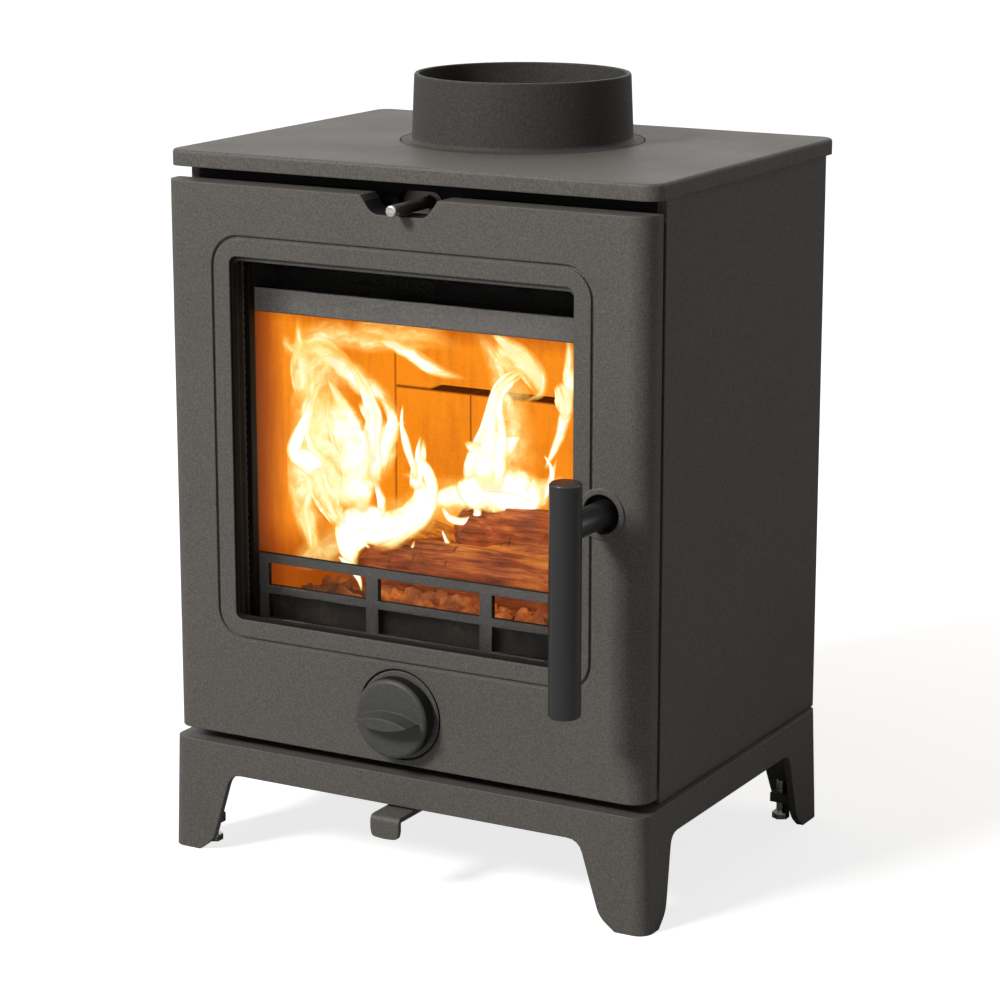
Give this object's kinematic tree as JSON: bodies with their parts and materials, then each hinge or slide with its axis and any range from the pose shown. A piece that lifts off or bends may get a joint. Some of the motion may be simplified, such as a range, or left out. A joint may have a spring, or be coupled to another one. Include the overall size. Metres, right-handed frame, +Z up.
{
  "type": "wood-burning stove",
  "caption": "Small cast box stove on four short legs, with a glazed side-hinged door, turning handle, air knob, sliding airwash rod, riddling lever and a round top flue collar.",
  "frame": {"origin": "on the floor under the middle of the stove's overall box", "axes": "+Z up, -Y towards the door, +X to the right of someone who faces the door"},
  "size_m": [0.3384, 0.3138, 0.4862],
  "materials": {
    "painted_iron": "granular high-temperature paint",
    "painted_dark": "granular high-temperature paint",
    "satin_bar": "satin dark grey",
    "bright_steel": "bright",
    "bare_iron": "bare, heat darkened",
    "sheet_steel": "dull mill finish",
    "fire_brick": "pressed vermiculite board, matt",
    "seal_rope": "braided glass fibre",
    "charred_wood": "charred split log",
    "door_glass": "clear glass ceramic"
  },
  "bodies": {
    "stove_body": {"base_frame": "painted_iron", "levelling_bolt_front_left": "bright_steel", "tie_bolt_front_left": "sheet_steel", "levelling_bolt_front_right": "bright_steel", "tie_bolt_front_right": "sheet_steel", "levelling_bolt_rear_left": "bright_steel", "tie_bolt_rear_left": "sheet_steel", "levelling_bolt_rear_right": "bright_steel", "tie_bolt_rear_right": "sheet_steel", "side_panel_left": "painted_iron", "side_panel_right": "painted_iron", "rear_panel": "painted_iron", "floor_plate": "bare_iron", "front_frame": "painted_dark", "top_plate": "painted_iron", "flue_collar": "painted_dark", "collar_bolt_1": "sheet_steel", "collar_bolt_2": "sheet_steel", "collar_bolt_3": "sheet_steel", "latch_keeper": "sheet_steel", "airwash_duct": "painted_iron", "side_brick_left": "fire_brick", "side_brick_right": "fire_brick", "back_brick_centre": "fire_brick", "back_brick_left": "fire_brick", "back_brick_right": "fire_brick", "back_brick_upper": "fire_brick", "baffle_plate": "fire_brick", "grate_frame": "bare_iron", "grate": "bare_iron", "log_guard": "painted_dark", "ash_pan": "sheet_steel", "log_front": "charred_wood", "log_back": "charred_wood", "log_top": "charred_wood", "lever_stirrup": "bare_iron"},
    "door": {"door_casting": "painted_iron", "door_glass": "door_glass", "glass_gasket": "seal_rope", "glass_clip_1": "sheet_steel", "glass_clip_2": "sheet_steel", "glass_clip_3": "sheet_steel", "glass_clip_4": "sheet_steel", "door_rope_seal": "seal_rope", "hinge_pin_lower": "bright_steel", "hinge_pin_upper": "bright_steel"},
    "handle": {"handle_bar": "satin_bar", "handle_stem": "satin_bar", "latch_tongue": "sheet_steel", "latch_nut": "sheet_steel"},
    "air_control": {"air_knob": "satin_bar", "air_shutter": "sheet_steel", "air_shutter_nut": "sheet_steel"},
    "airwash_control": {"airwash_slide": "sheet_steel", "airwash_rod": "bare_iron", "airwash_tip": "bright_steel"},
    "riddling_gear": {"riddle_plate": "bare_iron", "riddling_lever": "painted_iron", "riddle_bolt": "sheet_steel", "riddle_nut": "sheet_steel"}
  },
  "joints": [
    {"name": "door_hinge", "type": "hinge", "parent": "stove_body", "child": "door", "pos_m": [-0.1535, -0.0906, 0.25], "axis": [0, 0, -1], "range_deg": [0, 110]},
    {"name": "handle_turn", "type": "hinge", "parent": "door", "child": "handle", "pos_m": [0.1367, -0.1031, 0.2533], "axis": [0, -1, 0], "range_deg": [0, 90]},
    {"name": "air_knob_turn", "type": "hinge", "parent": "door", "child": "air_control", "pos_m": [0, -0.1056, 0.1116], "axis": [0, -1, 0], "range_deg": [0, 90]},
    {"name": "airwash_slide_travel", "type": "slide", "parent": "stove_body", "child": "airwash_control", "axis": [1, 0, 0], "range_m": [-0.014, 0.0079]},
    {"name": "riddling_lever_travel", "type": "slide", "parent": "stove_body", "child": "riddling_gear", "axis": [0, -1, 0], "range_m": [0, 0.02]}
  ]
}
